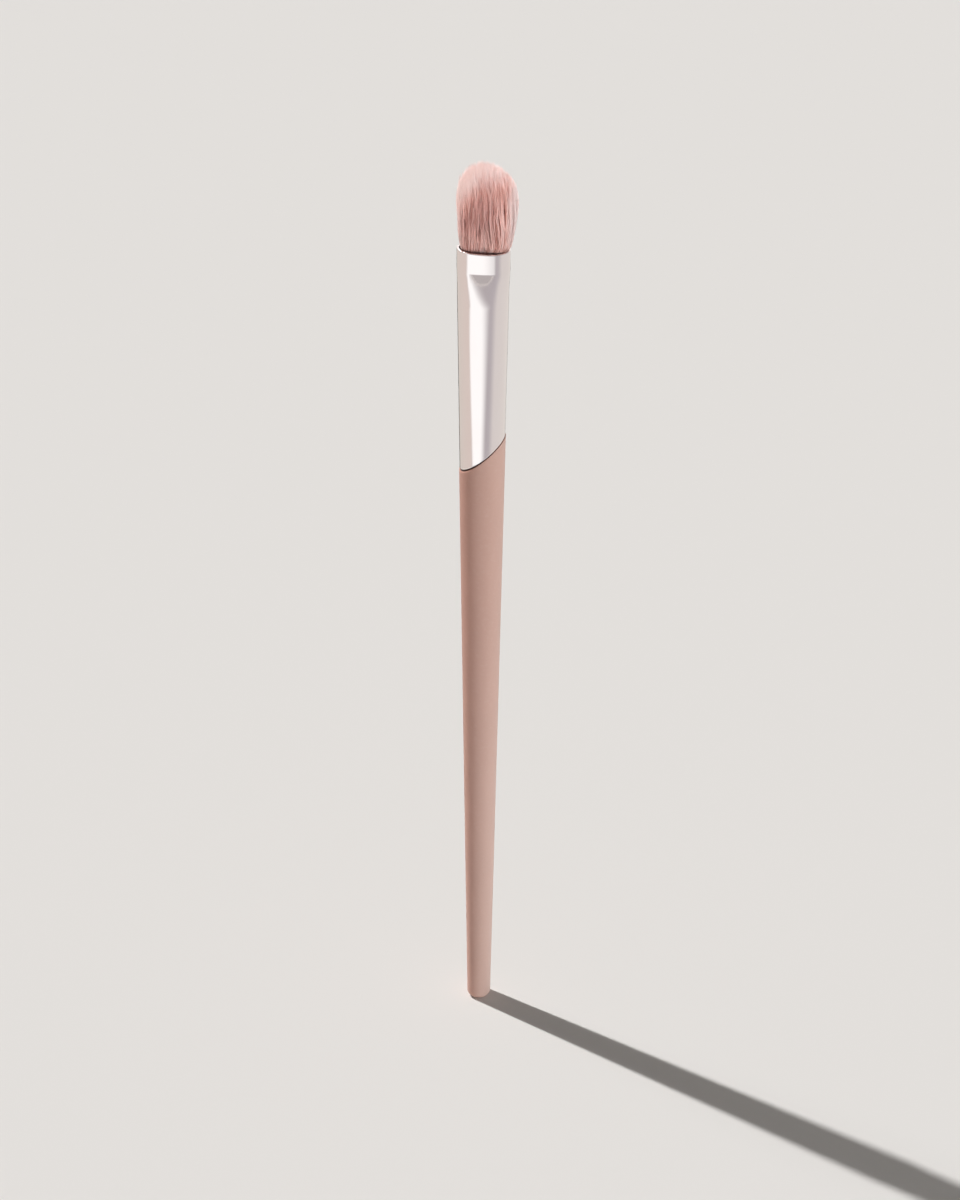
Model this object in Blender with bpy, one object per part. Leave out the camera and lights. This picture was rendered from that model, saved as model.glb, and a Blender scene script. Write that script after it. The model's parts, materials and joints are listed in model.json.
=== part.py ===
"""Blending brush: a domed oval head of soft fibres in a pressed metal ferrule on a slim tapered handle.

The brush stands on its foot with its axis on +Z. Its wide side lies along X, and -Y is its front.
The ferrule's lower end is cut on a slant, and the handle's shoulder is cut to the same slant below it.
All lengths are in metres.
"""

import math

import bmesh
import bpy
from mathutils import Matrix, Vector

MM = 0.001

# Fits shared by all pieces
FIT_GAP = 0.3 * MM  # clearance where one piece seats on or in another
CUT_OVERRUN = 2.0 * MM  # how far a raw shape or a cutter runs past a cut
WELD = 0.0005 * MM  # corners closer than this are one corner
TURNED_SIDES = 48
FINE_TURN = 3  # steps that draw a small rounding

# Handle
FOOT_DIAMETER = 4.1 * MM
FOOT_ROUNDING = 1.0 * MM
SHOULDER_HEIGHT = 117.8 * MM  # where the slanted shoulder crosses the axis
SHOULDER_DIAMETER = 7.94 * MM
SHOULDER_SLANT = math.radians(42.4)  # the shoulder rises towards +X
TENON_LENGTH = 18.3 * MM  # above the shoulder height
TENON_DRAFT = 0.25 * MM  # the tenon's radius falls by this along its length
TENON_CHAMFER = 0.5 * MM
GLUE_GROOVE_DEPTH = 0.3 * MM
GLUE_GROOVE_WIDTH = 0.9 * MM
GLUE_GROOVE_PITCH = 2.6 * MM
GLUE_GROOVES = 3

# Ferrule
FERRULE_FOOT_DIAMETER = 7.74 * MM  # at the shoulder height, so the handle's edge stands a little proud
FERRULE_WALL = 0.4 * MM
FERRULE_LENGTH = 40.9 * MM  # from the shoulder height to the mouth
MOUTH_WIDTH = 8.95 * MM
MOUTH_DEPTH = 4.7 * MM
MOUTH_FLAT = 4.0 * MM  # width of the flat that the press leaves on the front and the back
PRESSED_BAND = 3.9 * MM  # height of the parallel band, from the mouth down to the crimp line
CRIMP_ROUNDING = 0.3 * MM
FUNNEL_LENGTH = 6.3 * MM  # where the section opens from the pressed band to the tube
FUNNEL_WIDTH = 8.72 * MM
FUNNEL_DEPTH = 7.0 * MM
LIP_ROUNDING = 0.12 * MM
FERRULE_SIDES = 40
FUNNEL_STEPS = 5
TUBE_STEPS = 2

# Head of fibres
HEAD_LENGTH = 16.4 * MM  # above the mouth
HEAD_WIDTH = 10.5 * MM
HEAD_DEPTH = 6.9 * MM
BELLY_HEIGHT = 8.8 * MM  # the widest place, above the mouth
ROOT_RECESS = 0.8 * MM  # the bonded root ends this far below the mouth
ROOT_LENGTH = 10.5 * MM
ROOT_WAIST_DEPTH = 4.4 * MM  # of the root where the thread ties it
ROOT_WAIST_WIDTH = 6.2 * MM
ROOT_CORNER_POWER = 3.0  # 2 is an ellipse, more is squarer
DOME_POWER = 2.2
STRAND_RINGS = 8  # 6 strands in the first ring, 18 in the second, 30 in the third and so on
STRAND_INSET = 0.03 * MM  # half of the space between two strands at the root
STRAND_JOINT_SHARES = (0.4, 0.8)  # of a strand's length, where it is thickest and where it tapers
STRAND_BODY_SHARES = (0.84, 0.7)  # of its cell's width that a strand fills at those joints

# Thread that ties the root
THREAD_DIAMETER = 0.5 * MM
THREAD_TURNS = 3
THREAD_SIDES = 8
THREAD_RING_SIDES = 24

# Finishes: colour, roughness, metallic
PINK_LACQUER = ((0.50, 0.30, 0.25, 1.0), 0.45, 0.0)
ROSE_METAL = ((0.83, 0.76, 0.74, 1.0), 0.12, 1.0)
PINK_FIBRE = ((0.74, 0.42, 0.38, 1.0), 0.55, 0.0)
CLEAR_RESIN = ((0.72, 0.66, 0.55, 1.0), 0.25, 0.0)
COTTON = ((0.85, 0.82, 0.76, 1.0), 0.9, 0.0)

# Places worked out from the sizes above
SHOULDER_RADIUS = SHOULDER_DIAMETER / 2
FERRULE_FOOT_RADIUS = FERRULE_FOOT_DIAMETER / 2
SHOULDER_RISE = SHOULDER_RADIUS * math.tan(SHOULDER_SLANT)
SHOULDER_LOW = SHOULDER_HEIGHT - SHOULDER_RISE
SHOULDER_HIGH = SHOULDER_HEIGHT + SHOULDER_RISE
MOUTH_HEIGHT = SHOULDER_HEIGHT + FERRULE_LENGTH
CRIMP_HEIGHT = MOUTH_HEIGHT - PRESSED_BAND
FUNNEL_FOOT = CRIMP_HEIGHT - FUNNEL_LENGTH
TENON_TOP = SHOULDER_HEIGHT + TENON_LENGTH
ROOT_TOP = MOUTH_HEIGHT - ROOT_RECESS
ROOT_FOOT = ROOT_TOP - ROOT_LENGTH
BELLY_TOP = MOUTH_HEIGHT + BELLY_HEIGHT
HEAD_TOP = MOUTH_HEIGHT + HEAD_LENGTH
THREAD_BAND = THREAD_DIAMETER * THREAD_TURNS


def clear_scene():
    for old in list(bpy.data.objects):
        bpy.data.objects.remove(old, do_unlink=True)


def mix(start, end, share):
    return start + (end - start) * share


def ease_out(share):
    """Fast at first and level at the end."""
    return 1 - (1 - share) ** 2


def finish(name, colour, roughness, metallic):
    material = bpy.data.materials.new(name)
    material.use_nodes = True
    surface = material.node_tree.nodes["Principled BSDF"]
    surface.inputs["Base Color"].default_value = colour
    surface.inputs["Roughness"].default_value = roughness
    surface.inputs["Metallic"].default_value = metallic
    material.diffuse_color = colour
    return material


def make_object(name, shape, look=None):
    """Turns a bmesh into an object with outward faces, smooth where it is round."""
    bmesh.ops.recalc_face_normals(shape, faces=shape.faces)
    mesh = bpy.data.meshes.new(name)
    shape.to_mesh(mesh)
    shape.free()
    mesh.shade_smooth()
    mesh.set_sharp_from_angle(angle=math.radians(30))
    made = bpy.data.objects.new(name, mesh)
    bpy.context.scene.collection.objects.link(made)
    if look:
        mesh.materials.append(finish(name + "_finish", *look))
    return made


def hide_helper(helper):
    helper.hide_render = True
    helper.display_type = "WIRE"
    return helper


def combine(target, helper, operation):
    step = target.modifiers.new(operation.lower() + "_" + helper.name, "BOOLEAN")
    step.operation = operation
    step.object = hide_helper(helper)


def turned(profile):
    """Spins a profile of (radius, height) points about Z and closes its two ends with flat faces."""
    shape = bmesh.new()
    corners = [shape.verts.new((radius, 0, height)) for radius, height in profile]
    edges = [shape.edges.new(pair) for pair in zip(corners, corners[1:])]
    bmesh.ops.spin(
        shape,
        geom=corners + edges,
        cent=(0, 0, 0),
        axis=(0, 0, 1),
        angle=math.tau,
        steps=TURNED_SIDES,
        use_merge=True,
    )
    bmesh.ops.remove_doubles(shape, verts=shape.verts, dist=WELD)
    bmesh.ops.holes_fill(shape, edges=shape.edges, sides=0)
    return shape


def lofted(rings, around=False):
    """Skins rings of points. With around, the last ring joins the first, and otherwise both ends are capped."""
    shape = bmesh.new()
    loops = [[shape.verts.new(point) for point in ring] for ring in rings]
    pairs = list(zip(loops, loops[1:]))
    if around:
        pairs.append((loops[-1], loops[0]))
    for lower, upper in pairs:
        for index, corner in enumerate(lower):
            before = index - 1
            shape.faces.new((lower[before], corner, upper[index], upper[before]))
    if not around:
        shape.faces.new(loops[0])
        shape.faces.new(loops[-1])
    return shape


def slanted_block(name, gap, side):
    """A block whose face lies on the shoulder's slant, moved up by gap. side is 1 above it and -1 below."""
    reach = SHOULDER_DIAMETER + CUT_OVERRUN
    shape = bmesh.new()
    bmesh.ops.create_cube(shape, size=1)
    bmesh.ops.scale(shape, vec=(2 * reach, 2 * reach, reach), verts=shape.verts)
    bmesh.ops.translate(shape, vec=(0, 0, gap + side * reach / 2), verts=shape.verts)
    tilt = Matrix.Rotation(-SHOULDER_SLANT, 3, "Y")
    bmesh.ops.rotate(shape, cent=(0, 0, 0), matrix=tilt, verts=shape.verts)
    bmesh.ops.translate(shape, vec=(0, 0, SHOULDER_HEIGHT), verts=shape.verts)
    return make_object(name, shape)


def handle_radius(height):
    """One straight taper from the foot through the shoulder."""
    return mix(FOOT_DIAMETER / 2, SHOULDER_RADIUS, height / SHOULDER_HEIGHT)


def handle_profile():
    """Half outline of the handle's body, from the flat of the foot to past the shoulder."""
    flat_radius = FOOT_DIAMETER / 2 - FOOT_ROUNDING
    top = SHOULDER_HIGH + CUT_OVERRUN
    outline = []
    for step in range(2 * FINE_TURN + 1):
        turn = math.radians(90) * step / (2 * FINE_TURN)
        outline.append((
            flat_radius + FOOT_ROUNDING * math.sin(turn),
            FOOT_ROUNDING * (1 - math.cos(turn)),
        ))
    outline.append((handle_radius(top), top))
    return outline


def tenon_radius(height):
    """The tenon clears the ferrule's bore at its foot and narrows towards its end."""
    share = (height - SHOULDER_LOW) / (TENON_TOP - SHOULDER_LOW)
    widest = ferrule_section(SHOULDER_LOW)[0] - FERRULE_WALL - FIT_GAP
    return widest - TENON_DRAFT * share


def tenon_profile():
    """Half outline of the tenon, from inside the handle's body to its chamfered end."""
    buried = SHOULDER_LOW - CUT_OVERRUN
    outline = [(tenon_radius(SHOULDER_LOW), buried)]
    groove_foot = SHOULDER_HIGH + GLUE_GROOVE_PITCH / 2
    for index in range(GLUE_GROOVES):
        low = groove_foot + index * GLUE_GROOVE_PITCH
        high = low + GLUE_GROOVE_WIDTH
        outline.append((tenon_radius(low), low))
        outline.append((tenon_radius(low) - GLUE_GROOVE_DEPTH, mix(low, high, 1 / 3)))
        outline.append((tenon_radius(high) - GLUE_GROOVE_DEPTH, mix(low, high, 2 / 3)))
        outline.append((tenon_radius(high), high))
    outline.append((tenon_radius(TENON_TOP), TENON_TOP - TENON_CHAMFER))
    outline.append((tenon_radius(TENON_TOP) - TENON_CHAMFER, TENON_TOP))
    return outline


def make_handle():
    body = make_object("handle", turned(handle_profile()), PINK_LACQUER)
    combine(body, slanted_block("shoulder_cutter", 0, 1), "DIFFERENCE")
    combine(body, make_object("tenon_blank", turned(tenon_profile())), "UNION")
    return body


def pressed_outline(half_width, half_depth, half_flat, height):
    """A ring with flats on the front and the back and elliptic ends; with no flat it is an ellipse."""
    ring = []
    for index in range(FERRULE_SIDES):
        turn = math.tau * (index + 0.5) / FERRULE_SIDES
        across = math.cos(turn)
        side = math.copysign(half_flat, across)
        ring.append(Vector((
            side + (half_width - half_flat) * across,
            half_depth * math.sin(turn),
            height,
        )))
    return ring


def ferrule_section(height):
    """Half width, half depth and half flat of the ferrule's outside at a height."""
    mouth = (MOUTH_WIDTH / 2, MOUTH_DEPTH / 2, MOUTH_FLAT / 2)
    funnel = (FUNNEL_WIDTH / 2, FUNNEL_DEPTH / 2, 0)
    if height >= CRIMP_HEIGHT:
        return mouth
    if height >= FUNNEL_FOOT:
        share = (CRIMP_HEIGHT - height) / FUNNEL_LENGTH
        return tuple(mix(top, low, ease_out(share)) for top, low in zip(mouth, funnel))
    share = (height - SHOULDER_HEIGHT) / (FUNNEL_FOOT - SHOULDER_HEIGHT)
    return (
        mix(FERRULE_FOOT_RADIUS, funnel[0], share),
        mix(FERRULE_FOOT_RADIUS, funnel[1], share),
        0,
    )


def ferrule_ring(height, inset=0):
    half_width, half_depth, half_flat = ferrule_section(height)
    return pressed_outline(half_width - inset, half_depth - inset, half_flat, height)


def ferrule_heights():
    """Heights of the rings, from below the slanted end to just under the mouth's rounded lip."""
    heights = [SHOULDER_LOW - CUT_OVERRUN]
    heights += [mix(SHOULDER_HIGH, FUNNEL_FOOT, step / TUBE_STEPS) for step in range(TUBE_STEPS)]
    heights += [
        mix(FUNNEL_FOOT, CRIMP_HEIGHT - CRIMP_ROUNDING, step / FUNNEL_STEPS)
        for step in range(FUNNEL_STEPS + 1)
    ]
    heights += [CRIMP_HEIGHT, MOUTH_HEIGHT - LIP_ROUNDING]
    return heights


def make_ferrule():
    """A thin tube, round below and pressed flat at the mouth, with its lower end cut to the shoulder's slant."""
    heights = ferrule_heights()
    outside = [ferrule_ring(height) for height in heights]
    outside.append(ferrule_ring(MOUTH_HEIGHT, LIP_ROUNDING))
    inside = [ferrule_ring(MOUTH_HEIGHT, FERRULE_WALL - LIP_ROUNDING)]
    inside += [ferrule_ring(height, FERRULE_WALL) for height in reversed(heights)]
    tube = make_object("ferrule", lofted(outside + inside, around=True), ROSE_METAL)
    combine(tube, slanted_block("ferrule_end_cutter", FIT_GAP, -1), "DIFFERENCE")
    return tube


def make_resin_plug():
    """Set resin between the tenon's end and the root, filling the ferrule less its clearance."""
    foot = TENON_TOP + FIT_GAP
    top = ROOT_FOOT - FIT_GAP
    inset = FERRULE_WALL + FIT_GAP
    rings = [ferrule_ring(foot, inset + TENON_CHAMFER)]
    rings += [
        ferrule_ring(mix(foot + TENON_CHAMFER, top, step / FINE_TURN), inset)
        for step in range(FINE_TURN + 1)
    ]
    return make_object("resin_plug", lofted(rings), CLEAR_RESIN)


def power_outline_point(half_width, half_depth, power, reach, turn):
    """Point at a share of the way out to a rounded outline, in the direction that turn counts."""
    across = math.copysign(abs(math.cos(turn)) ** (2 / power), math.cos(turn))
    along = math.copysign(abs(math.sin(turn)) ** (2 / power), math.sin(turn))
    return half_width * reach * across, half_depth * reach * along


def mouth_opening():
    """Half width and half depth that the root may fill inside the mouth."""
    clear = FERRULE_WALL + FIT_GAP
    return MOUTH_WIDTH / 2 - clear, MOUTH_DEPTH / 2 - clear


def head_section(height):
    """Half width, half depth and corner power of the head's outline at a height."""
    root_width, root_depth = mouth_opening()
    share = ease_out(min(1, max(0, height - MOUTH_HEIGHT) / BELLY_HEIGHT))
    return (
        mix(root_width, HEAD_WIDTH / 2, share),
        mix(root_depth, HEAD_DEPTH / 2, share),
        mix(ROOT_CORNER_POWER, 2, share),
    )


def root_reach_and_turn(point):
    """Where a point of the root's top lies in the outline: its share of the way out, and its turn."""
    half_width, half_depth, power = head_section(ROOT_TOP)
    across = abs(point.x / half_width) ** power
    along = abs(point.y / half_depth) ** power
    turn = math.atan2(math.copysign(math.sqrt(along), point.y), math.copysign(math.sqrt(across), point.x))
    return (across + along) ** (1 / power), turn


def carried_up(point, height):
    """Follows a fibre from a point of the root's top to a height."""
    reach, turn = root_reach_and_turn(point)
    half_width, half_depth, power = head_section(height)
    across, along = power_outline_point(half_width, half_depth, power, reach, turn)
    return Vector((across, along, height))


def tip_height(point):
    """The fibres end on a dome over the belly."""
    reach = min(1, root_reach_and_turn(point)[0])
    return mix(BELLY_TOP, HEAD_TOP, (1 - reach**DOME_POWER) ** (1 / DOME_POWER))


def root_cells(shape):
    """Rings of three-sided cells that fill the root's top out to its outline."""
    half_width, half_depth, power = head_section(ROOT_TOP)
    rings = [[shape.verts.new((0, 0, ROOT_TOP))]]
    for ring in range(1, STRAND_RINGS + 1):
        corners = []
        for index in range(6 * ring):
            turn = math.tau * index / (6 * ring)
            reach = ring / STRAND_RINGS
            across, along = power_outline_point(half_width, half_depth, power, reach, turn)
            corners.append(shape.verts.new((across, along, ROOT_TOP)))
        rings.append(corners)
    for ring in range(1, STRAND_RINGS + 1):
        inner, outer = rings[ring - 1], rings[ring]
        for sector in range(6):
            for step in range(ring):
                here = sector * ring + step
                below = sector * (ring - 1) + step
                ahead = outer[(here + 1) % len(outer)]
                shape.faces.new((outer[here], ahead, inner[below % len(inner)]))
                if step:
                    shape.faces.new((outer[here], inner[below % len(inner)], inner[below - 1]))
    return rings[-1]


def root_ring(shape, height, half_width, half_depth):
    """A ring of the bonded root, with one corner under each corner of its top's edge."""
    ring = []
    for index in range(6 * STRAND_RINGS):
        turn = math.tau * index / (6 * STRAND_RINGS)
        across, along = power_outline_point(half_width, half_depth, 2, 1, turn)
        ring.append(shape.verts.new((across, along, height)))
    return ring


def waist_top():
    return ROOT_FOOT + THREAD_BAND + 2 * FIT_GAP


def add_bonded_root(shape, rim):
    """The fibres' glued ends below the top, drawn in to a waist where the thread ties them."""
    half_width, half_depth = mouth_opening()
    waist = (ROOT_WAIST_WIDTH / 2, ROOT_WAIST_DEPTH / 2)
    loops = [
        rim,
        root_ring(shape, CRIMP_HEIGHT, half_width, half_depth),
        root_ring(shape, waist_top(), *waist),
        root_ring(shape, ROOT_FOOT, *waist),
    ]
    for upper, lower in zip(loops, loops[1:]):
        for index, corner in enumerate(upper):
            before = index - 1
            shape.faces.new((upper[before], lower[before], lower[index], corner))
    shape.faces.new(loops[-1])


def middle_of(corners, root):
    """Middle of the root points that the corners were grown from."""
    return sum((corner[root] for corner in corners), Vector()) / len(corners)


def grow_strands(shape, cells):
    """Draws each cell in and up into one fibre that follows the head's outline and ends in a point."""
    bmesh.ops.inset_individual(shape, faces=cells, thickness=STRAND_INSET)
    root = shape.verts.layers.float_vector.new("root")
    for corner in shape.verts:
        corner[root] = corner.co
    for share, body in zip(STRAND_JOINT_SHARES, STRAND_BODY_SHARES):
        cells = bmesh.ops.extrude_discrete_faces(shape, faces=cells)["faces"]
        for cell in cells:
            middle = middle_of(cell.verts, root)
            height = mix(ROOT_TOP, tip_height(middle), share)
            centre = carried_up(middle, height)
            for corner in cell.verts:
                corner.co = centre.lerp(carried_up(corner[root], height), body)
    for point in bmesh.ops.poke(shape, faces=cells)["verts"]:
        middle = middle_of([edge.other_vert(point) for edge in point.link_edges], root)
        point.co = carried_up(middle, tip_height(middle))


def make_bristle_tuft():
    """Fibres fused to their bonded root: one strand stands for a lock of the real hair."""
    shape = bmesh.new()
    rim = root_cells(shape)
    cells = list(shape.faces)
    add_bonded_root(shape, rim)
    bmesh.ops.recalc_face_normals(shape, faces=shape.faces)
    grow_strands(shape, cells)
    return make_object("bristle_tuft", shape, PINK_FIBRE)


def make_binding_thread():
    """Turns of thread round the root's waist, side by side and glued into one ribbed ring."""
    clear = FIT_GAP + THREAD_DIAMETER / 2
    foot = ROOT_FOOT + FIT_GAP
    section = []
    for rib in range(THREAD_TURNS):
        middle = foot + THREAD_DIAMETER * (rib + 0.5)
        for step in range(1, THREAD_SIDES // 2):
            turn = math.tau * step / THREAD_SIDES
            section.append((
                THREAD_DIAMETER / 2 * math.sin(turn),
                middle - THREAD_DIAMETER / 2 * math.cos(turn),
            ))
    section += [(-THREAD_DIAMETER / 2, foot + THREAD_BAND), (-THREAD_DIAMETER / 2, foot)]
    rings = [
        [
            Vector((
                (ROOT_WAIST_WIDTH / 2 + clear + out) * math.cos(math.tau * side / THREAD_RING_SIDES),
                (ROOT_WAIST_DEPTH / 2 + clear + out) * math.sin(math.tau * side / THREAD_RING_SIDES),
                height,
            ))
            for side in range(THREAD_RING_SIDES)
        ]
        for out, height in section
    ]
    return make_object("binding_thread", lofted(rings, around=True), COTTON)


def main():
    clear_scene()
    make_handle()
    make_ferrule()
    make_resin_plug()
    make_binding_thread()
    make_bristle_tuft()


main()
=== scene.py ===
"""Looks of the blending brush: lacquered handle, pressed metal ferrule and a domed head of fibres.

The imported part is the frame. The handle, the ferrule and the head are modelled again in finer
detail in the same places. The resin and the thread inside the ferrule are the part's own solids
with new finishes. All lengths are in metres unless a comment says otherwise.
"""

import json
import math

import bmesh
import bpy
import numpy as np
from mathutils import Matrix, Vector

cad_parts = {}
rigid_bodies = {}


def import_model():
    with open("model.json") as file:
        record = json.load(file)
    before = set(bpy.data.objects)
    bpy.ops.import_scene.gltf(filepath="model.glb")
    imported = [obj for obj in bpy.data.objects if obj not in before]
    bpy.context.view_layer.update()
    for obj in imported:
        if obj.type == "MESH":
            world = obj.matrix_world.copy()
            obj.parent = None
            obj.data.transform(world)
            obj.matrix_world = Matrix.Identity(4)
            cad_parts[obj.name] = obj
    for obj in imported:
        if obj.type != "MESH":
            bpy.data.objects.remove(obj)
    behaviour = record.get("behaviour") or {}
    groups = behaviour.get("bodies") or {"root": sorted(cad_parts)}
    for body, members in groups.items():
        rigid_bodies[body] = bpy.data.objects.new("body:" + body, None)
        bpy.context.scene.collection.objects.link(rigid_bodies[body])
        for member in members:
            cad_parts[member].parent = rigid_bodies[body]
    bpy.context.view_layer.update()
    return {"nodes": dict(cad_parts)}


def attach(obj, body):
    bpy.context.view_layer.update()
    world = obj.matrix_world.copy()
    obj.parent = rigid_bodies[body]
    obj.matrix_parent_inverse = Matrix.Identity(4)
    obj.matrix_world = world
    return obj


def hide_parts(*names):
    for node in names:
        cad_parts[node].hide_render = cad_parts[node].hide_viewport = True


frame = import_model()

MM = 0.001
BODY = "root"
UP = Vector((0, 0, 1))

# Sizes of the part that the scene's own pieces share
FOOT_RADIUS = 2.05 * MM
SHOULDER_HEIGHT = 117.8 * MM
SHOULDER_RADIUS = 3.97 * MM
SHOULDER_SLANT = math.radians(42.4)
SHOULDER_RISE = SHOULDER_RADIUS * math.tan(SHOULDER_SLANT)
SHOULDER_LOW = SHOULDER_HEIGHT - SHOULDER_RISE
SHOULDER_HIGH = SHOULDER_HEIGHT + SHOULDER_RISE
SHOULDER_MIDDLE = Vector((0, 0, SHOULDER_HEIGHT))
FERRULE_FOOT_RADIUS = 3.87 * MM
FERRULE_WALL = 0.4 * MM
MOUTH_HEIGHT = 158.7 * MM
MOUTH_HALF_WIDTH = 4.53 * MM
MOUTH_SHIFT = 0.05 * MM
MOUTH_HALF_DEPTH = 2.35 * MM
CRIMP_HEIGHT = 154.8 * MM
FUNNEL_FOOT = 148.5 * MM
FUNNEL_HALF_WIDTH = 4.36 * MM
FUNNEL_HALF_DEPTH = 3.5 * MM
HEAD_LENGTH = 16.4 * MM
BELLY_HEIGHT = 8.8 * MM

# Cutting
CUT_OVERRUN = 2.0 * MM  # a blank reaches this far past the plane that cuts it
PICKING_SLACK = 0.001 * MM
HOLDING_LOOP = 0.2 * MM  # a ring this far from a rounding keeps the wall beyond it straight
SMOOTH_BELOW = math.radians(30)

# Handle
HANDLE_SIDES = 192
FOOT_ROUNDING = 1.0 * MM
FOOT_SEGMENTS = 8
SHOULDER_EDGE = 0.07 * MM
TENON_FOOT_RADIUS = 3.11 * MM
TENON_TOP_RADIUS = 2.86 * MM
TENON_TOP = 136.1 * MM
TENON_CHAMFER = 0.5 * MM

# Ferrule
FERRULE_SIDES = 240
TUBE_RINGS = 6
FUNNEL_RINGS = 24
CRIMP_RINGS = (-0.1, -0.04, 0.0, 0.04, 0.12)  # mm over the crimp line
BAND_RINGS = (0.35, 0.7)  # shares of the way from the crimp line to the mouth
PRESSED_PLACES = (0, 2.0, 2.35, 2.85, 3.1, 3.65, 4.15, 4.53)  # mm from the middle of the front
PRESSED_TURNS = (0, 9, 18, 24.8, 29, 39, 49.5, 90)  # degrees that the wall has turned there
STEEPEST = 0.9999  # sine of the last turn, so that its slope stays finite
QUARTER_POINTS = 600
LIP_ROUNDING = 0.11 * MM
LIP_LOOP = 0.05 * MM
CUT_EDGE = 0.06 * MM
FERRULE_SLANT = math.radians(39.6)  # flatter than the shoulder, so that only the low side gapes
FERRULE_GAP = 0.18 * MM

# Glued root
ROOT_SIDES = 96
ROOT_FOOT = 147.4 * MM
ROOT_WAIST_TOP = 149.5 * MM
ROOT_TOP = MOUTH_HEIGHT - 0.9 * MM
ROOT_HALF_WIDTH = 3.1 * MM
ROOT_HALF_DEPTH = 2.2 * MM
ROOT_TOP_HALF_WIDTH = 3.95 * MM
ROOT_TOP_HALF_DEPTH = 1.62 * MM
ROOT_RIM = 0.25 * MM
ROOT_CROWN = 0.12 * MM

# Fibres
FIBRES = 9600
LOCKS = 1800
WISPS = 240
FIBRE_RINGS = 9
FIBRE_SIDES = 3
FIBRE_RADIUS = 0.042 * MM
FIBRE_FOOT = 157.2 * MM
THICKNESS_PLACES = (0, 0.15, 0.5, 0.8, 1)  # shares of a fibre's length
THICKNESS = (0.8, 1.0, 1.0, 0.8, 0.2)  # shares of its radius there
DOME_POWER = 2.2
HEAD_REACH = 1.02  # no fibre swings out past this share of the outline
GOLDEN_TURN = math.pi * (3 - math.sqrt(5))

# Gathering: reach is 0 on the axis and 1 at the outside of the head
OUTER_FROM, OUTER_OVER = 0.7, 0.25  # reach over which fibres turn from inner to outer ones
TO_LOCK = (0.35, 0.8)  # least and most share of the way from a fibre's own spot to its lock
TO_WISP = (0.1, 0.5)  # share of the way from the lock on to its wisp, for inner and outer fibres
LOCK_BY = 0.4  # share of the length by which fibres have gathered in locks
WISP_FROM, WISP_OVER = 0.25, 0.6  # shares of the length over which locks gather in wisps
STRAYS = 0.05  # share of the outermost fibres that follow no lock
STRAY_REACH = 0.8
STRAY_WAY = -0.6  # strays lean away from their lock

# Unevenness of fibres, locks and wisps: on the unit disc, in mm of length, and in tone
FIBRE_JITTER, LOCK_JITTER, WISP_JITTER = 0.004, 0.012, 0.03
FIBRE_STAGGER, LOCK_STAGGER, WISP_STAGGER = 0.28, 0.3, 0.28
INNER_STAGGER = 0.3  # inner fibres take this share of their lock's and wisp's stagger
LOCK_TONES = (0.08, 0.4, 0.65, 0.95)
LOCK_CHANCES = (0.25, 0.25, 0.25, 0.25)
FIBRE_TONE_SPREAD, WISP_TONE_SPREAD, STREAK_TONE = 0.14, 0.1, 0.2
STREAK_WAVES = (6, 14)

# Swings: how far on the unit disc, and the least and most radians of wave along a fibre
WISP_SWING = (0.026, 3, 6)
LOCK_SWING = (0.028, 5, 11)
FIBRE_SWING = (0.006, 3, 8)
SWING_SPREAD = 0.3
SWING_BY = 0.35  # share of the length by which a swing is at its full size

# The head's outline: heights over the mouth, half widths, half depths and leans towards +X, in mm
HEAD_HEIGHTS = (-1.6, 0, 0.8, 3.2, 7.2, 9.2, 11.1, 13.0, 15.0, 16.3)
HEAD_HALF_WIDTHS = (3.7, 3.87, 4.30, 4.70, 5.12, 5.2, 5.2, 5.2, 5.2, 5.2)
HEAD_HALF_DEPTHS = (1.35, 1.37, 1.65, 2.5, 3.35, 3.5, 3.5, 3.5, 3.5, 3.5)
HEAD_LEANS = (0.08, 0.14, 0.42, 0.50, 0.60, 0.64, 0.60, 0.54, 0.30, 0.12)
CORNER_HEIGHTS = (0, 7)
CORNER_POWERS = (3.0, 2.0)  # squarer over the mouth, an oval from there on
HEAD_LAYERS = (("fibres_core", 0, 0.62), ("fibres_middle", 0.62, 0.85), ("fibres_outer", 0.85, 2))

# Tones
LACQUER_DEEP = (0.612, 0.315, 0.243)
LACQUER_PALE = (0.657, 0.345, 0.270)
LACQUER_GRAIN = (0.74, 0.48, 0.40)
# painted light from the floor, laid on by the foot
LACQUER_PAINTED_FLOOR_LIGHT = (0.80, 0.52, 0.44)
# painted shade for the gap between the handle and the ferrule
GAP_PAINTED_SHADE = (0.13, 0.06, 0.05)
METAL_DEEP = (0.885, 0.805, 0.785)
METAL_PALE = (0.915, 0.850, 0.835)
METAL_SPECK = (0.80, 0.70, 0.68)
# painted highlight along the ferrule's cut edge
METAL_CUT_PAINTED_HIGHLIGHT = (1.0, 0.98, 0.96)
FIBRE_DARK = (0.39, 0.142, 0.112)
FIBRE_PALE = (0.87, 0.49, 0.437)
# painted shade for the inner fibres and the middle of the head
FIBRE_PAINTED_SHADE = (0.42, 0.16, 0.13)
# lighter copies of the fibre tone, laid on as painted light
FIBRE_LIT_DARK = (0.74, 0.338, 0.272)
FIBRE_LIT_PALE = (1.0, 0.645, 0.572)
# painted light at the sides of the head
FIBRE_SIDE_PAINTED_LIGHT = (0.95, 0.82, 0.79)
# painted highlights on the fibre tips
FIBRE_TIP_PAINTED_HIGHLIGHT = (1.0, 0.70, 0.64)
# painted light over the dome's crown
FIBRE_CROWN_PAINTED_LIGHT = (0.955, 0.785, 0.745)
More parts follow.
